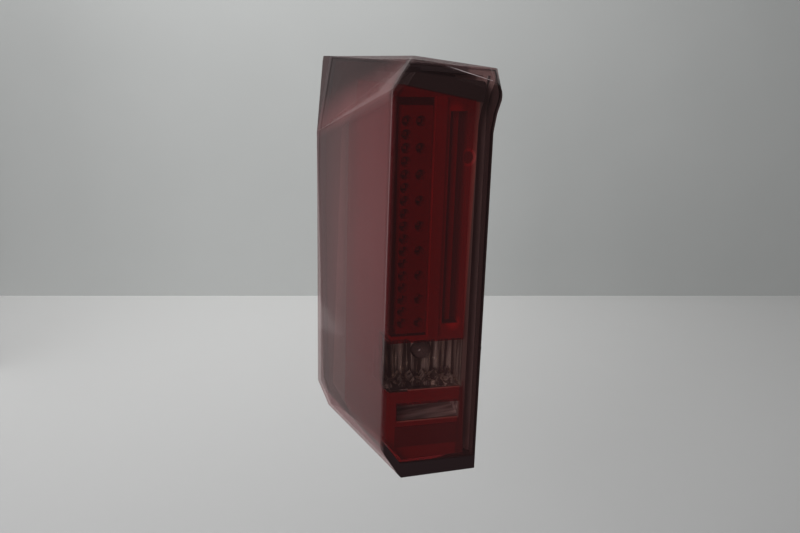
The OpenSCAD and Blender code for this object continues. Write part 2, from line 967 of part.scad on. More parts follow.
// Pin that finds its hole in the body panel
pin_l = 26;
pin_collar_t = 3;
pin_collar_d = 12;
module locating_pin() {
    translate([pin_x, pin_seat_y, 0])
        rotate([-90, 0, 0]) {
            cylinder(h = pin_collar_t, d = pin_collar_d);
            cylinder(h = pin_l - pin_d / 2, d = pin_d);
            translate([0, 0, pin_l - pin_d / 2])
                sphere(d = pin_d);
            translate([0, 0, -pin_stem_l])
                cylinder(h = pin_stem_l + CUT, d = pin_stem_d);
        }
}

module upper_locating_pin() {
    color("ivory")
        translate([0, 0, pin_z[1]])
            locating_pin();
}

module lower_locating_pin() {
    color("ivory")
        translate([0, 0, pin_z[0]])
            locating_pin();
}

module screw_sleeves() {
    color(STEEL)
        for (z = ear_z)
            translate([ear_x, ear_y, z])
                rotate([90, 0, 0])
                    difference() {
                        cylinder(h = ear_t, d = sleeve_d);
                        translate([0, 0, -CUT])
                            cylinder(h = ear_t + 2 * CUT, d = sleeve_bore_d);
                    }
}

// Rubber caps on the breather nipples, each with a cross of slits at its open end
vent_cap_l = 11;
vent_cap_wall = 2;
vent_cap_top = 3;
vent_cap_gap = 0.1;
vent_slit_w = 2;
vent_slit_l = 1.6;
module vent_caps() {
    cap_d = vent_d + 2 * vent_cap_wall;
    color("black")
        for (z = vent_z)
            translate([vent_x, back_y + vent_l + vent_cap_top, z])
                rotate([90, 0, 0])
                    difference() {
                        cylinder(h = vent_cap_l, d = cap_d);
                        translate([0, 0, vent_cap_top])
                            cylinder(h = vent_cap_l, d = vent_d + vent_cap_gap);
                        for (a = [0, 90])
                            rotate([0, 0, a])
                                translate([-cap_d, -vent_slit_w / 2, vent_cap_l - vent_slit_l])
                                    cube([2 * cap_d, vent_slit_w, vent_slit_l + CUT]);
                    }
}

// Flanged socket for the stop lamp's plug
flange_t = 2.5;
flange_rim = 3;
inlet_l = 20;
inlet_wall = 2;
inlet_root = 8;
inlet_floor = 3;
bus_pitch = 6;
bus_w = 1.6;
bus_gap = 0.2;
bus_short = 5;
module inlet_block(grow, y, l) {
    translate([connector_x - connector_w / 2 - grow, y, connector_z - connector_h / 2 - grow])
        cube([connector_w + 2 * grow, l, connector_h + 2 * grow]);
}

module bus_bars(w, y, l) {
    for (i = [-1 : 1])
        translate([connector_x + i * bus_pitch - w / 2, y, connector_z - w / 2])
            cube([w, l, w]);
}

module led_connector() {
    color(BLACK)
        difference() {
            union() {
                inlet_block(flange_rim, back_y, flange_t);
                inlet_block(0, back_y - inlet_root, inlet_l + inlet_root);
            }
            inlet_block(-inlet_wall, back_y + inlet_floor, inlet_l);
            bus_bars(bus_w + bus_gap, back_y - inlet_l, bulb_cut);
        }
}

// Three bus pins from the inlet to the rear of the board
module connector_pins() {
    color(BRASS)
        intersection() {
            bus_bars(bus_w, 0, back_y + inlet_l - bus_short);
            face_block(-BIG / 2, BIG / 2, board_back, BIG, -BIG / 2, BIG);
        }
}

// Pan head screw, drawn with its head along +Z and its shank down from the origin
board_head = [4.6, 1.8];
bezel_head = [7.5, 2.6];
shank_gap = 0.1;
module pan_screw(head, d, l) {
    cylinder(h = head[1], d = head[0]);
    translate([0, 0, -l])
        cylinder(h = l + CUT, d = d);
}

module board_screws() {
    color(STEEL)
        at_board_posts(board_back)
            pan_screw(board_head, board_screw_d - board_screw_bite - shank_gap, board_screw_l);
}

module bezel_screws() {
    color(STEEL)
        for (x = bezel_screw_x)
            for (z = bezel_screw_z)
                translate([x, back_y, z])
                    rotate([-90, 0, 0])
                        pan_screw(bezel_head, bezel_screw_d - shank_gap, bezel_screw_l);
}

// The row's origin is midway between the mounting holes, on the ears' bearing face
module in_row() {
    translate([-ear_x, -ear_y, -ear_mid_z])
        children();
}

in_row() outer_lens();
in_row() lens_seal();
in_row() housing();
in_row() inner_bezel();
in_row() red_inner_lens();
in_row() lamp_cups();
in_row() led_board();
in_row() leds();
in_row() board_components();
in_row() light_guide();
in_row() side_light_bar();
in_row() turn_reflector();
in_row() turn_bulb();
in_row() turn_bulb_holder();
in_row() turn_holder_seal();
in_row() turn_holder_contacts();
in_row() backup_reflector();
in_row() backup_bulb();
in_row() backup_bulb_holder();
in_row() backup_holder_seal();
in_row() backup_holder_contacts();
in_row() reflex_reflector();
in_row() body_gasket();
in_row() upper_locating_pin();
in_row() lower_locating_pin();
in_row() screw_sleeves();
in_row() vent_caps();
in_row() led_connector();
in_row() connector_pins();
in_row() board_screws();
in_row() bezel_screws();
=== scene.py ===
import math

import bmesh
import bpy
from mathutils import Matrix, Vector


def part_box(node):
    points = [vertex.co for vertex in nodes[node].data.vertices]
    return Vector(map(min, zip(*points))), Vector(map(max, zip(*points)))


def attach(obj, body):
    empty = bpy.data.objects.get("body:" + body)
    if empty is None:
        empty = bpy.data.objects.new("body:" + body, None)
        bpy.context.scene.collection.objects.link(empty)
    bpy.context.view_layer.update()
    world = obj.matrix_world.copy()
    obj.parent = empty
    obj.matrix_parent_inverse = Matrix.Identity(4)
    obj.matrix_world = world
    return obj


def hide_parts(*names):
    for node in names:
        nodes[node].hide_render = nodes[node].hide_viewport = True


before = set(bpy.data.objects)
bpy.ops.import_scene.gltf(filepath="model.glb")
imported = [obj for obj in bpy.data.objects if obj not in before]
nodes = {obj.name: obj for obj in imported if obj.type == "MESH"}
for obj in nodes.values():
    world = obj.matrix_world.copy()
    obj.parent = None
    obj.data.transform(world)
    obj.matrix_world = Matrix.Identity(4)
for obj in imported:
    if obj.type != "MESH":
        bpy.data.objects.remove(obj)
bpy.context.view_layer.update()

# Camera
# It stands behind the vehicle's left rear corner, level with the top of the lamp, and looks
# slightly down, as in the photograph.
camera_place = Vector((-0.3617, -0.6329, 0.2015))
camera_right = Vector((0.92306, -0.38389, 0.02405))
camera_up = Vector((0.09023, 0.27687, 0.95666))
camera_back = Vector((-0.37392, -0.88089, 0.29020))
camera_data = bpy.data.cameras.new("camera")
camera_data.sensor_width = 36.0
camera_data.lens = 30.27
camera = bpy.data.objects.new("camera", camera_data)
camera.matrix_world = Matrix.Translation(camera_place) @ Matrix(
    (camera_right, camera_up, camera_back)).transposed().to_4x4()
bpy.context.collection.objects.link(camera)
bpy.context.scene.camera = camera
bpy.context.scene.view_settings.view_transform = "Standard"


# Outer lens
# One acrylic moulding, about 3 mm thick, tinted to a red smoke through its whole wall. Its facets
# meet in narrow polished rounds. A tongue on its rim is glued into the groove of the housing.
class Wire:
    """One socket of a finish, so that its sums read as plain sums."""

    def __init__(self, finish, socket):
        self.finish = finish
        self.socket = socket

    def __add__(self, other):
        return self.finish.sum("ADD", self, other)

    def __radd__(self, other):
        return self.finish.sum("ADD", other, self)

    def __sub__(self, other):
        return self.finish.sum("SUBTRACT", self, other)

    def __rsub__(self, other):
        return self.finish.sum("SUBTRACT", other, self)

    def __mul__(self, other):
        return self.finish.sum("MULTIPLY", self, other)

    def __rmul__(self, other):
        return self.finish.sum("MULTIPLY", other, self)

    def __pow__(self, other):
        return self.finish.sum("POWER", self, other)


class Finish:
    """A material, or the world, that is put together node by node."""

    def __init__(self, name, kind="materials"):
        self.made = getattr(bpy.data, kind).new(name)
        self.made.use_nodes = True
        self.tree = self.made.node_tree
        self.tree.nodes.clear()

    def add(self, kind, settings=None, sockets=None, out=0):
        """One node: its settings first, and then the values, colours or links of its sockets."""
        node = self.tree.nodes.new(kind)
        for key, value in (settings or {}).items():
            setattr(node, key, value)
        for key, value in (sockets or {}).items():
            if isinstance(value, Wire):
                self.tree.links.new(value.socket, node.inputs[key])
            elif node.inputs[key].type == "RGBA":
                node.inputs[key].default_value = (*value, 1.0)
            else:
                node.inputs[key].default_value = value
        return Wire(self, node.outputs[out]) if node.outputs else None

    def place(self):
        """The point of the surface, in the lamp's frame."""
        return self.add("ShaderNodeTexCoord", out="Object")

    def axis(self, letter):
        """X inboard, Y forward or Z up."""
        return self.add("ShaderNodeSeparateXYZ", {}, {"Vector": self.place()}, out=letter)

    def along(self, direction):
        """How far the point lies along a direction of the lamp's frame."""
        return self.compare("DOT_PRODUCT", self.place(), direction)

    def away(self, centre):
        """How far the point lies from another one."""
        return self.compare("DISTANCE", self.place(), centre)

    def turned(self, direction):
        """How far the surface faces a direction of the lamp's frame."""
        return self.compare("DOT_PRODUCT", self.add("ShaderNodeTexCoord", out="Normal"), direction)

    def compare(self, operation, first, second):
        return self.add(
            "ShaderNodeVectorMath", {"operation": operation}, {0: first, 1: second}, out="Value")

    def noise(self, scale, detail=2.0, stretch=(1.0, 1.0, 1.0), turn=(0.0, 0.0, 0.0)):
        grain = self.add(
            "ShaderNodeMapping", {}, {"Vector": self.place(), "Rotation": turn, "Scale": stretch})
        return self.add(
            "ShaderNodeTexNoise", {}, {"Vector": grain, "Scale": scale, "Detail": detail}, out="Fac")

    def ramp(self, share, low, high):
        """0 at low and before it, 1 at high and past it, and a straight line between them."""
        return self.add("ShaderNodeMapRange", {}, {"Value": share, "From Min": low, "From Max": high})

    def mix(self, share, first, second):
        return self.add("ShaderNodeMix", {"data_type": "RGBA"}, {0: share, 6: first, 7: second}, out=2)

    def sum(self, operation, first, second):
        return self.add("ShaderNodeMath", {"operation": operation}, {0: first, 1: second})

    def bump(self, height, distance):
        return self.add("ShaderNodeBump", {}, {"Height": height, "Distance": distance, "Strength": 1.0})

    def close(self, shader):
        self.add("ShaderNodeOutputMaterial", {}, {"Surface": shader})
        return self.made


def see_through(name, tint, haze, haze_share, gloss, glancing=0.6,
                veil=None, round_highlights=None, cover=None, dull=None):
    """A clear moulding. Light is tinted at both of its surfaces. A thin haze of scuffs scatters
    some of it, and the polish mirrors the room more at a glancing angle. A veil is the share of
    haze that a part of the moulding has above that, and in places it holds a painted highlight. Round
    highlights are a painted highlight of pale colour on its edges, a cover is the paint on it with its
    colour, and dull is the share of polish that a part has lost."""
    ripple = 0.00002
    highlight_colour = (0.75, 0.66, 0.68)
    finish = Finish(name)
    swirl = finish.noise(14.0, stretch=(1.0, 1.0, 0.3))
    scuff = finish.noise(30.0, detail=6.0, stretch=(1.0, 1.0, 0.5))
    normal = finish.bump(swirl, ripple)
    share = haze_share * (0.7 + 0.6 * scuff)
    if veil:
        share = share + veil(finish)
    through = finish.add("ShaderNodeBsdfTransparent", {}, {"Color": tint})
    film = finish.add("ShaderNodeBsdfPrincipled", {}, {
        "Base Color": finish.mix(scuff, haze, [0.8 * tone for tone in haze]),
        "Roughness": 0.6, "Specular IOR Level": 0.0})
    polish = finish.add("ShaderNodeBsdfPrincipled", {}, {
        "Base Color": (0.96, 0.96, 0.96), "Metallic": 1.0,
        "Roughness": 0.03 + 0.06 * scuff, "Normal": normal})
    facing = finish.add("ShaderNodeLayerWeight", {}, {"Blend": 0.5, "Normal": normal}, out="Facing")
    body = finish.add("ShaderNodeMixShader", {}, {0: share, 1: through, 2: film})
    # Painted highlight: a pale diffuse colour laid on the rounded edges.
    if round_highlights:
        pale = finish.add("ShaderNodeBsdfPrincipled", {}, {
            "Base Color": highlight_colour, "Roughness": 0.4, "Specular IOR Level": 0.0})
        body = finish.add("ShaderNodeMixShader", {}, {0: round_highlights(finish), 1: body, 2: pale})
    if cover:
        where, colour = cover(finish)
        paint = finish.add("ShaderNodeBsdfPrincipled", {}, {
            "Base Color": colour, "Roughness": 0.5, "Specular IOR Level": 0.0})
        body = finish.add("ShaderNodeMixShader", {}, {0: where, 1: body, 2: paint})
    mirror = gloss + glancing * facing ** 5.0
    if dull:
        mirror = mirror * (1.0 - dull(finish))
    return finish.close(finish.add("ShaderNodeMixShader", {}, {0: mirror, 1: body, 2: polish}))


lens_mesh = nodes["outer_lens"].data.copy()
lens_mesh.name = "smoked_lens"
same_point = 0.00002
shape = bmesh.new()
shape.from_mesh(lens_mesh)
bmesh.ops.remove_doubles(shape, verts=shape.verts, dist=same_point)

# Its peak
# Two points of the frame lie 1 mm apart there, and the real moulding has one blunt point.
peak = Vector((-0.0988, -0.0339, 0.2080))
peak_reach = 0.0026
peak_gap = 0.002
peak_points = [point for point in shape.verts if (point.co - peak).length < peak_reach]
bmesh.ops.remove_doubles(shape, verts=peak_points, dist=peak_gap)

# Its rounds
# Each edge between two large outer facets is rounded off, and the rim stays as it is in the frame.
rim_out = Vector((0.832, 0.555, 0.0))
lamp_middle = Vector((-0.075, 0.03, -0.02))
flat_turn = math.radians(0.5)
facet_turn = math.radians(12.0)
smooth_turn = math.radians(24.0)
shortest_edge = 0.004
smallest_facet = 0.0001
round_width = 0.0009
round_steps = 3


def on_rim(face):
    """Whether a face lies along the parting plane between lens and housing."""
    return abs(face.normal.dot(rim_out)) > 0.97


def outer_facet(face):
    """Whether a face is a large one on the outside of the lens."""
    outward = face.normal.dot(face.calc_center_median() - lamp_middle) > 0.0
    return outward and not on_rim(face) and face.calc_area() > smallest_facet


shape.normal_update()
facet_edges = [
    edge for edge in shape.edges
    if len(edge.link_faces) == 2 and not any(on_rim(face) for face in edge.link_faces)]
bmesh.ops.dissolve_limit(shape, angle_limit=flat_turn, verts=[], edges=facet_edges)
shape.normal_update()
round_edges = [
    edge for edge in shape.edges
    if len(edge.link_faces) == 2 and edge.calc_face_angle() > facet_turn
    and edge.calc_length() > shortest_edge and all(outer_facet(face) for face in edge.link_faces)]
bmesh.ops.bevel(
    shape, geom=round_edges, affect="EDGES", offset=round_width, offset_type="OFFSET",
    segments=round_steps, profile=0.5, clamp_overlap=False, material=-1)
for face in shape.faces:
    face.smooth = True
shape.normal_update()
for edge in shape.edges:
    edge.smooth = len(edge.link_faces) == 2 and edge.calc_face_angle() < smooth_turn
shape.to_mesh(lens_mesh)
shape.free()
lens_mesh.materials.clear()

# Its finish
# The slope of the rear face across the vehicle and the slope of the crease along the side place
# the marks on the lens.
rear_slope = 0.17
crease_slope = 0.28
foot_line = -0.2255
foot_corner = -0.101
foot_corner_slope = 1.5
line_blur = 0.001
blackout = (0.016, 0.009, 0.010)
return_paint = (0.085, 0.062, 0.060)


def lens_paint(finish):
    """The foot of the rear face is blacked out below the bezel, and the return at the vehicle's
    side is painted a dark warm grey."""
    inboard = finish.axis("X")
    rise = foot_corner_slope * finish.sum("MAXIMUM", foot_corner - inboard, 0.0)
    below = finish.ramp(finish.axis("Z") - rise, foot_line, foot_line - line_blur)
    rear = finish.ramp(finish.axis("Y") - rear_slope * inboard, -0.0080, -0.0100)
    sideways = finish.turned((0.94, -0.32, 0.0))
    inner = finish.ramp(sideways * sideways, 0.78, 0.84) * finish.ramp(inboard, -0.050, -0.045)
    return finish.sum("MAXIMUM", below * rear, inner), finish.mix(inner, blackout, return_paint)


def foot_facets(finish):
    """The facets that slant in under the outer side of the lamp."""
    downward = finish.turned((0.0, 0.0, -1.0))
    return finish.ramp(downward, 0.15, 0.25) * finish.ramp(finish.axis("X"), -0.070, -0.080)


def painted_round_highlights(finish):
    """Painted highlights: the polished rounds beside the side face and along the top are painted pale,
    as if they caught light, and the facets at the foot a little, as a painted reflection of the floor."""
    corner_turned = finish.turned((-0.74, -0.67, 0.0))
    corner = finish.ramp(corner_turned, 0.88, 0.95) * finish.ramp(finish.axis("Z"), -0.12, -0.06)
    top_turned = finish.turned((-0.023, -0.883, 0.470))
    top_highlight = finish.ramp(top_turned, 0.92, 0.96) * finish.ramp(finish.axis("X"), -0.068, -0.050)
    return 0.09 * corner + 0.50 * top_highlight + 0.08 * foot_facets(finish)


def side_haze(finish):
    """The side face is a little milky, in faint upright streaks, and clearer at its foot and top,
    with a painted highlight in a paler band along the crease. The rear face is clearest at its upper
    outer corner.
    The facets of the top have a little more haze, and those at the foot more, as a painted reflection of
    the floor."""
    inboard, forward, height = finish.axis("X"), finish.axis("Y"), finish.axis("Z")
    shoulder = height + crease_slope * forward
    streaks = finish.noise(120.0, stretch=(1.0, 1.0, 0.03))
    side = finish.ramp(forward - rear_slope * inboard, -0.0080, -0.0020)
    crown = finish.ramp(shoulder, 0.172, 0.215)
    # Painted highlight: a paler band of haze along the crease.
    crease_highlight = (finish.ramp(shoulder, 0.158, 0.170) * finish.ramp(shoulder, 0.208, 0.174)
             * finish.ramp(forward, 0.220, 0.090))
    foot = finish.ramp(height + 0.9 * forward, 0.05, -0.22)
    behind = finish.ramp(forward, 0.060, 0.095) * finish.ramp(forward, 0.140, 0.100)
    upper = finish.ramp(height, 0.04, 0.16)
    inward = finish.ramp(inboard, -0.085, -0.045) * finish.ramp(height, 0.165, 0.150)
    lower = finish.ramp(height, 0.0, -0.15)
    roof = finish.ramp(finish.turned((0.13, -0.56, 0.82)), 0.90, 0.96)
    milk = 0.055 + 0.05 * streaks + 0.06 * behind
    milk = milk * (1.0 - 0.85 * crown) * (1.0 - 0.95 * foot) * (1.0 - 0.45 * upper)
    clear = 0.010 * inward + 0.008 * lower
    # Painted reflection: the extra haze on the facets at the foot stands in for the floor that they
    # mirror.
    roof_haze_and_foot_reflection = 0.035 * roof + 0.16 * foot_facets(finish)
    return side * (milk + 0.20 * crease_highlight) + (1.0 - side) * clear + roof_haze_and_foot_reflection


def foot_wear(finish):
    """The facets at the foot are scuffed, and mirror the floor less."""
    return 0.85 * foot_facets(finish)


lens_mesh.materials.append(see_through(
    "smoked_acrylic", tint=(0.70, 0.64, 0.64), haze=(0.40, 0.150, 0.155), haze_share=0.010,
    gloss=0.030, glancing=0.42, veil=side_haze, round_highlights=painted_round_highlights, cover=lens_paint, dull=foot_wear))
lens = bpy.data.objects.new("smoked_lens", lens_mesh)
bpy.context.collection.objects.link(lens)
weights = lens.modifiers.new("flat_facets", "WEIGHTED_NORMAL")
weights.keep_sharp = True
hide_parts("outer_lens")
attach(lens, "root")


# Red inner lens
# A red acrylic moulding, 2 mm thick, which follows the outer lens and sits between it and the
# bezel. Its openings leave the turn signal and the backup lamp clear.
def dress(name, material):
    """Gives a node of the frame its finish."""
    nodes[name].data.materials.clear()
    nodes[name].data.materials.append(material)


window_top = -0.077
window_foot = -0.137
window_blur = 0.002


def side_flutes(finish):
    """Upright flutes on the side wall of the red lens, which scatter most of the light there. They
    end at the turn signal's window."""
    forward, height = finish.axis("Y"), finish.axis("Z")
    flutes = 0.22 + 0.18 * finish.noise(200.0, stretch=(1.0, 1.0, 0.02))
    wall = finish.ramp(forward, -0.020, -0.010) * finish.ramp(forward, 0.100, 0.060)
    window = (finish.ramp(forward, 0.004, 0.000)
              * finish.ramp(height, window_top + window_blur, window_top - window_blur)
              * finish.ramp(height, window_foot - window_blur, window_foot + window_blur))
    foot = finish.ramp(height, 0.0, -0.22)
    crown = finish.ramp(height + crease_slope * forward, 0.178, 0.165)
    return wall * crown * flutes * (1.0 - window) * (1.0 - 0.75 * foot)


dress("red_inner_lens", see_through(
    "red_acrylic", tint=(0.84, 0.20, 0.23), haze=(0.68, 0.020, 0.065), haze_share=0.035, gloss=0.012,
    veil=side_flutes))


# Light bar beside the lamps
# A plain bar of clear red acrylic, sawn from sheet and snapped in front of the bezel. Its long
# sawn edge beside the lamps has more haze, which is a painted highlight.
def sawn_edge_highlight(finish):
    """The long edge on the lamps' side, with more haze as a painted highlight."""
    return 0.5 * finish.ramp(finish.turned((-0.98, 0.17, 0.0)), 0.8, 0.9)


dress("light_guide", see_through(
    "light_bar_acrylic", tint=(0.88, 0.34, 0.34), haze=(0.95, 0.13, 0.12), haze_share=0.45, gloss=0.03,
    veil=sawn_edge_highlight))


# Lamp cups, side bar and prism plate
# Solid red acrylic mouldings that snap into the bezel. The cups spread the light of the lamps, and
# the grooves of the plate throw back the light of the car behind.
def solid(name, dark, pale, rough=(0.35, 0.5), grain=400.0, depth=0.00002, metal=0.0):
    """An opaque moulding or plating, mottled a little, with a fine grain."""
    smoothest, roughest = rough
    finish = Finish(name)
    patch = finish.noise(18.0, detail=4.0)
    return finish.close(finish.add("ShaderNodeBsdfPrincipled", {}, {
        "Base Color": finish.mix(patch, dark, pale), "Metallic": metal,
        "Roughness": smoothest + (roughest - smoothest) * patch,
        "Normal": finish.bump(finish.noise(grain), depth)}))


dress("lamp_cups", solid(
    "red_optics", dark=(0.23, 0.035, 0.045), pale=(0.33, 0.05, 0.06), rough=(0.2, 0.3), grain=60.0))
dress("side_light_bar", solid(
    "red_bar", dark=(0.45, 0.10, 0.08), pale=(0.55, 0.14, 0.11), rough=(0.15, 0.3), grain=300.0))
dress("reflex_reflector", solid(
    "red_prisms", dark=(0.14, 0.035, 0.035), pale=(0.22, 0.05, 0.05), rough=(0.2, 0.3), grain=40.0))

# Bezel
# A satin carrier in one brown-red moulding, which hides the board and frames the chambers. Four
# screws through the back wall of the housing hold it. The boss beside its tall slot is colour here,
# with a painted highlight on its rim and painted shade in its bore. The bright spots at the slot's
# ends are painted glints, the darker depths, top, crown and upward ledges are painted shade, and the
# border is a darker colour.
bezel = Finish("bezel_plastic")
bar_low, bar_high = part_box("side_light_bar")
painted_glints = (
    (Vector((-0.050, -0.029, bar_high.z)), 0.011),
    (Vector((-0.042, -0.030, bar_low.z)), 0.010),
    (Vector((-0.060, -0.027, bar_low.z + 0.002)), 0.006))
boss_middle = (-0.0352, -0.0309, 0.1115)
boss_radius = 0.0091
boss_bore = 0.0061
boss_blur = 0.0003
bezel_forward = (0.17, 0.985, 0.0)
ledge_turned = (0.13, -0.56, 0.82)
border_slope = 0.0177
crown_slope = 0.19
bezel_patch = bezel.noise(18.0, detail=4.0)
bezel_colour = bezel.mix(bezel_patch, (0.40, 0.13, 0.105), (0.48, 0.16, 0.125))
# Painted glints: bright spots at the ends of the slot.
for middle, reach in painted_glints:
    glint = bezel.ramp(bezel.away(middle), reach, 0.4 * reach)
    bezel_colour = bezel.mix(glint, bezel_colour, (1.0, 0.30, 0.20))
# The boss is painted: a painted highlight on its rim and painted shade in its bore.
boss = bezel.away(boss_middle)
boss_rim_highlight = bezel.ramp(boss, boss_bore - boss_blur, boss_bore + boss_blur)
painted_boss = bezel.mix(boss_rim_highlight, (0.24, 0.07, 0.06), (0.80, 0.22, 0.20))
around_boss = bezel.ramp(boss, boss_radius + boss_blur, boss_radius - boss_blur)
bezel_colour = bezel.mix(around_boss, bezel_colour, painted_boss)
border = bezel.ramp(bezel.axis("X") - border_slope * bezel.axis("Z"), -0.0285, -0.0275)
bezel_colour = bezel.mix(border, bezel_colour, (0.17, 0.115, 0.100))
# Painted shade in the depths of the bezel.
depth_shade = bezel.ramp(bezel.along(bezel_forward), -0.034, -0.024)
bezel_colour = bezel.mix(depth_shade, bezel_colour, (0.13, 0.07, 0.065))
# Painted shade toward the top of the bezel.
shaded = 0.45 * bezel.ramp(bezel.axis("Z"), 0.10, 0.15)
bezel_colour = bezel.mix(shaded, bezel_colour, (0.05, 0.02, 0.02))
# Painted shade along the crown of the bezel.
crown_shade = bezel.ramp(bezel.axis("Z") + crown_slope * bezel.axis("X"), 0.1605, 0.1615)
bezel_colour = bezel.mix(crown_shade, bezel_colour, (0.030, 0.022, 0.022))
# Painted shade on the ledges that face up.
ledge_shade = bezel.ramp(bezel.turned(ledge_turned), 0.6, 0.8)
bezel_colour = bezel.mix(ledge_shade, bezel_colour, (0.030, 0.022, 0.022))
dress("inner_bezel", bezel.close(bezel.add("ShaderNodeBsdfPrincipled", {}, {
    "Base Color": bezel_colour, "Roughness": 0.32 + 0.12 * bezel_patch})))

# Turn signal chamber
# A grey moulded box behind the clear window, with a bright vacuum coat. Its upright flutes spread
# the light of the bulb, and a row of teeth stands on its floor. The fine streaks on the coat are
# painted reflections, and the dark slants across the outer teeth are painted shade.
tooth_pitch = 0.018
tooth_slant = 1.7
fluted = Finish("fluted_coat")
# Painted reflections: pale and dark streaks in the coat's colour.
flutes = fluted.ramp(fluted.noise(210.0, stretch=(1.0, 0.6, 0.05)), 0.44, 0.62)
on_floor = fluted.ramp(fluted.turned((0.0, 0.0, 1.0)), 0.7, 0.9)
zigzag = tooth_slant * fluted.sum("PINGPONG", fluted.axis("X"), tooth_pitch / 2) - fluted.axis("Y")
# Painted shade between the outer teeth.
teeth_shade = fluted.ramp(zigzag, 0.014, 0.015) * fluted.ramp(fluted.axis("X"), -0.060, -0.068) * on_floor
streak_reflections = fluted.mix(flutes, (0.08, 0.066, 0.056), (0.86, 0.79, 0.70))
dress("turn_reflector", fluted.close(fluted.add("ShaderNodeBsdfPrincipled", {}, {
    "Base Color": fluted.mix(teeth_shade, streak_reflections, (0.008, 0.007, 0.009)),
    "Metallic": 0.7, "Roughness": 0.36 - 0.1 * flutes})))

# Backup lamp chamber
# A lower box of the same kind, with the same coat inside. The streaks in it are painted
# reflections, which lie nearly level and rise a little toward the middle of the vehicle.
streak_turn = (0.0, 0.30, 0.0)
streaked = Finish("streaked_coat")
# Painted reflections: pale streaks in the coat's colour.
streaks = streaked.ramp(
    streaked.noise(130.0, detail=1.0, stretch=(0.12, 1.0, 1.0), turn=streak_turn), 0.42, 0.66)
dress("backup_reflector", streaked.close(streaked.add("ShaderNodeBsdfPrincipled", {}, {
    "Base Color": streaked.mix(streaks, (0.34, 0.30, 0.285), (0.92, 0.82, 0.78)),
    "Metallic": 0.6, "Roughness": 0.42 - 0.1 * streaks})))

# Bulbs
# Blown clear glass with a pressed flat foot, a large one for the turn signal and a small one for
# the backup lamp. Each foot pushes into its holder.
bulb_glass = see_through(
    "bulb_glass", tint=(0.95, 0.955, 0.96), haze=(0.30, 0.25, 0.23), haze_share=0.27, gloss=0.03,
    glancing=0.08)
for name in ("turn_bulb", "backup_bulb"):
    dress(name, bulb_glass)

# Board, lamps and driver parts
# A glass fibre board under green solder mask, held by screws. The yellow lamps are soldered in two
# columns to the side that faces the lens, and the black packages of the driver to the other side.
dress("led_board", solid(
    "solder_mask", dark=(0.015, 0.09, 0.035), pale=(0.02, 0.12, 0.045), rough=(0.3, 0.4), grain=500.0))
dress("leds", solid(
    "lamp_phosphor", dark=(0.62, 0.42, 0.08), pale=(0.75, 0.55, 0.12), rough=(0.3, 0.4), grain=800.0))
dress("board_components", solid(
    "black_packages", dark=(0.02, 0.02, 0.02), pale=(0.04, 0.04, 0.04), rough=(0.4, 0.6), grain=900.0))

# Inlet
# The flanged socket for the stop lamp's plug, in black plastic, which goes through the back wall.
# It has the fine grain of a spark-eroded mould.
housing_dark = (0.016, 0.016, 0.018)
housing_pale = (0.028, 0.028, 0.030)
mould_grain = 1400.0
mould_depth = 0.00005
dress("led_connector", solid(
    "black_housing", dark=housing_dark, pale=housing_pale, rough=(0.42, 0.58), grain=mould_grain,
    depth=mould_depth))

# Housing
# The black body in one moulding, with the same grain, two ears and a wing. It carries all the rest.
# Its rim and ledges are painted a warm grey, and what faces the lamp's outer side a dark red on
# the wing and a brown inboard: painted light on the black plastic, as it shows through the smoke.
# Painted light: lighter colours for the black housing where it shows through the lenses.
lit_rim_grey = (0.34, 0.265, 0.250)
lit_rim_red = (0.040, 0.020, 0.020)
lit_rim_brown = (0.17, 0.115, 0.110)
housing = Finish("housing_black")
housing_patch = housing.noise(18.0, detail=4.0)
lens_side = housing.turned(-rim_out)
rim_faces = housing.ramp(lens_side, 0.78, 0.82) * housing.ramp(housing.axis("Y"), 0.006, 0.002)
rim_side = housing.ramp(housing.turned((-0.99, -0.12, 0.06)), 0.96, 0.985)
lit_side_colour = housing.mix(housing.ramp(housing.axis("X"), -0.080, -0.050), lit_rim_red, lit_rim_brown)
black = housing.mix(housing_patch, housing_dark, housing_pale)
housing_colour = housing.mix(rim_side, black, lit_side_colour)
dress("housing", housing.close(housing.add("ShaderNodeBsdfPrincipled", {}, {
    "Base Color": housing.mix(rim_faces, housing_colour, lit_rim_grey),
    "Roughness": 0.42 + 0.16 * housing_patch,
    "Normal": housing.bump(housing.noise(mould_grain), mould_depth)})))

# Bulb holders
# Grey nylon bodies that are turned into the back wall by their lugs. An orange silicone ring under
# the cap of each one keeps the water out.
grey_nylon = solid(
    "grey_nylon", dark=(0.10, 0.10, 0.105), pale=(0.15, 0.15, 0.155), rough=(0.4, 0.55), grain=1100.0)
silicone = solid(
    "orange_silicone", dark=(0.55, 0.14, 0.02), pale=(0.65, 0.19, 0.03), rough=(0.45, 0.6), grain=700.0)
for name in ("turn_bulb_holder", "backup_bulb_holder"):
    dress(name, grey_nylon)
for name in ("turn_holder_seal", "backup_holder_seal"):
    dress(name, silicone)

# Seals and caps
# The glue bead in the groove of the housing and the caps on its breather nipples are soft black
# rubber. The frame that is stuck on the back wall is cut from closed-cell foam.
rubber = solid(
    "black_rubber", dark=(0.018, 0.018, 0.018), pale=(0.030, 0.030, 0.030), rough=(0.6, 0.8),
    grain=900.0)
for name in ("lens_seal", "vent_caps"):
    dress(name, rubber)
dress("body_gasket", solid(
    "closed_foam", dark=(0.025, 0.025, 0.026), pale=(0.05, 0.05, 0.052), rough=(0.85, 0.95),
    grain=1600.0, depth=0.0002))

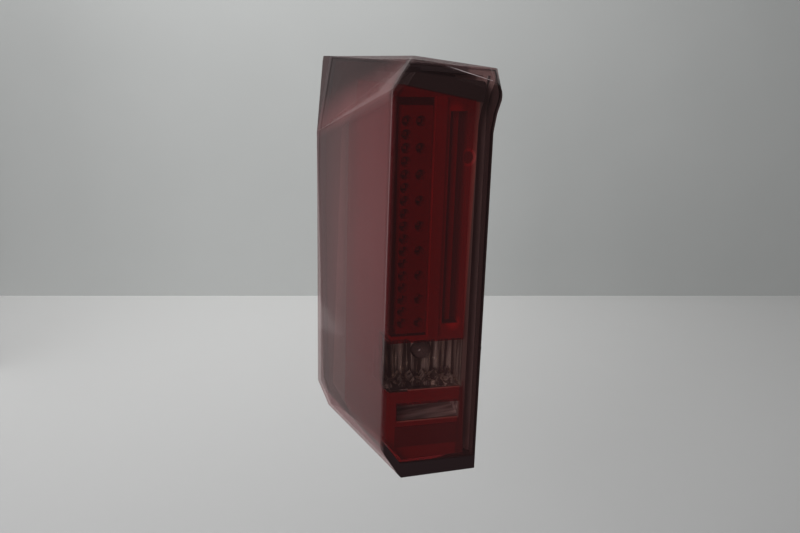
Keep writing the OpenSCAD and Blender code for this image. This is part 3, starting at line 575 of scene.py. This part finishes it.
# Metal parts
# Steel sleeves in the ears and steel screws, all plated with zinc. The blades in the bulb holders
# and the pins of the inlet are tinned brass.
zinc = solid(
    "zinc_plate", dark=(0.50, 0.50, 0.52), pale=(0.62, 0.62, 0.64), rough=(0.28, 0.42), grain=700.0,
    metal=1.0)
brass = solid(
    "tinned_brass", dark=(0.60, 0.44, 0.18), pale=(0.72, 0.56, 0.28), rough=(0.25, 0.4), grain=600.0,
    metal=1.0)
for name in ("screw_sleeves", "board_screws", "bezel_screws"):
    dress(name, zinc)
for name in ("turn_holder_contacts", "backup_holder_contacts", "connector_pins"):
    dress(name, brass)

# Locating pins
# Studs of natural acetal, pressed into the seats on the housing's wing. They find their holes in
# the body side before the screws go in.
acetal = solid(
    "natural_acetal", dark=(0.70, 0.67, 0.58), pale=(0.80, 0.77, 0.68), rough=(0.35, 0.5), grain=500.0)
for name in ("upper_locating_pin", "lower_locating_pin"):
    dress(name, acetal)

# Stage
# A plain pale floor well below the lamp, and a pale grey wall behind it that shows only its front.
# Both are flat sheets, placed from where the camera stands.
floor_height = -0.80
floor_depth = 3.20
wall_distance = 2.85
wall_height = 4.0
stage_width = 4.9
stage_shift = 0.50
upright = Matrix.Rotation(math.radians(90.0), 4, "X")
view_turn = Matrix.Rotation(math.radians(-23.0), 4, "Z")
wall_turn = Matrix.Rotation(math.radians(-18.67), 4, "Z")
below_camera = Matrix.Translation((camera_place.x, camera_place.y, floor_height))
wall_foot = (
    below_camera @ view_turn @ Matrix.Translation((0.0, wall_distance, 0.0)) @ view_turn.inverted()
    @ wall_turn @ Matrix.Translation((stage_shift, 0.0, 0.0)))


def sheet_of(name, width, depth, place, material):
    """A flat sheet of the stage."""
    sheet = bmesh.new()
    bmesh.ops.create_grid(sheet, x_segments=1, y_segments=1, size=0.5)
    bmesh.ops.scale(sheet, vec=(width, depth, 1.0), verts=sheet.verts)
    bmesh.ops.transform(sheet, matrix=place, verts=sheet.verts)
    mesh = bpy.data.meshes.new(name)
    sheet.to_mesh(mesh)
    sheet.free()
    mesh.materials.append(material)
    piece = bpy.data.objects.new(name, mesh)
    bpy.context.collection.objects.link(piece)
    return piece


# Its floor
# Its colour is painted paler toward the wall, painted light that leaves it darker near the camera.
# Its near corners follow the edges of the picture, so that the lamp's side mirrors the side panel
# and not the floor.
near_half_width = 0.80
near_distance = 1.05
ahead = (0.391, 0.920, 0.0)
floor_finish = Finish("pale_floor")
floor_light_falloff = floor_finish.ramp(floor_finish.along(ahead), 0.4, 2.1)
floor_paint = floor_finish.close(floor_finish.add("ShaderNodeBsdfPrincipled", {}, {
    "Base Color": floor_finish.mix(floor_light_falloff, (0.36, 0.36, 0.36), (0.54, 0.54, 0.535)),
    "Roughness": 0.6 + 0.2 * floor_finish.noise(6.0, detail=3.0)}))
floor_middle = wall_foot @ Matrix.Translation((0.0, -floor_depth / 2, 0.0))
floor_sheet = sheet_of("floor", stage_width, floor_depth, floor_middle, floor_paint)
for corner, across in enumerate((-near_half_width, near_half_width)):
    near_corner = Vector((across, near_distance, 0.0))
    floor_sheet.data.vertices[corner].co = below_camera @ view_turn @ near_corner

# Its wall
# Seen from the back it is clear, so that it doesn't hide the lamp from views from behind.
wall_finish = Finish("pale_wall")
wall_front = wall_finish.add("ShaderNodeBsdfPrincipled", {}, {
    "Base Color": wall_finish.mix(
        wall_finish.noise(2.0, detail=3.0), (0.43, 0.44, 0.435), (0.47, 0.48, 0.475)),
    "Roughness": 0.85})
wall_back = wall_finish.add("ShaderNodeBsdfTransparent")
from_back = wall_finish.add("ShaderNodeNewGeometry", out="Backfacing")
wall_paint = wall_finish.close(wall_finish.add(
    "ShaderNodeMixShader", {}, {0: from_back, 1: wall_front, 2: wall_back}))
wall_middle = wall_foot @ Matrix.Translation((0.0, 0.0, wall_height / 2)) @ upright
sheet_of("backdrop", stage_width, wall_height, wall_middle, wall_paint)


# Light
# A wide soft panel overhead near the wall, a second one behind the lamp's outer side and a faint
# one for the side face to mirror, in a dim room that mirrors darker than the camera sees it.
def lamp_panel(name, size, watts, place, aim):
    """A rectangular soft light."""
    data = bpy.data.lights.new(name, "AREA")
    data.shape = "RECTANGLE"
    data.size, data.size_y = size
    data.energy = watts
    light = bpy.data.objects.new(name, data)
    direction = Vector(aim) - Vector(place)
    turn = direction.to_track_quat("-Z", "Y").to_matrix().to_4x4()
    light.matrix_world = Matrix.Translation(place) @ turn
    bpy.context.collection.objects.link(light)


lamp_panel("top_panel", size=(2.0, 1.4), watts=84.0, place=(-0.1, 1.8, 2.2), aim=(0.1, 1.8, 0.0))
lamp_panel("key_panel", size=(1.4, 1.4), watts=78.0, place=(-2.0, -1.6, 0.8), aim=(0.0, 0.0, 0.0))
lamp_panel(
    "side_panel", size=(1.9, 2.6), watts=7.0, place=(-1.17, 0.88, -0.45), aim=(-0.24, 0.49, -0.45))
room_lights = (0.20, 0.20, 0.20)
room_mirrored = (0.085, 0.082, 0.082)
room_seen = (0.40, 0.41, 0.41)
room = Finish("room", "worlds")
light_path = "ShaderNodeLightPath"
mirrored = room.mix(room.add(light_path, out="Is Glossy Ray"), room_lights, room_mirrored)
tone = room.mix(room.add(light_path, out="Is Camera Ray"), mirrored, room_seen)
room.add("ShaderNodeOutputWorld", {}, {"Surface": room.add("ShaderNodeBackground", {}, {"Color": tone})})
bpy.context.scene.world = room.made
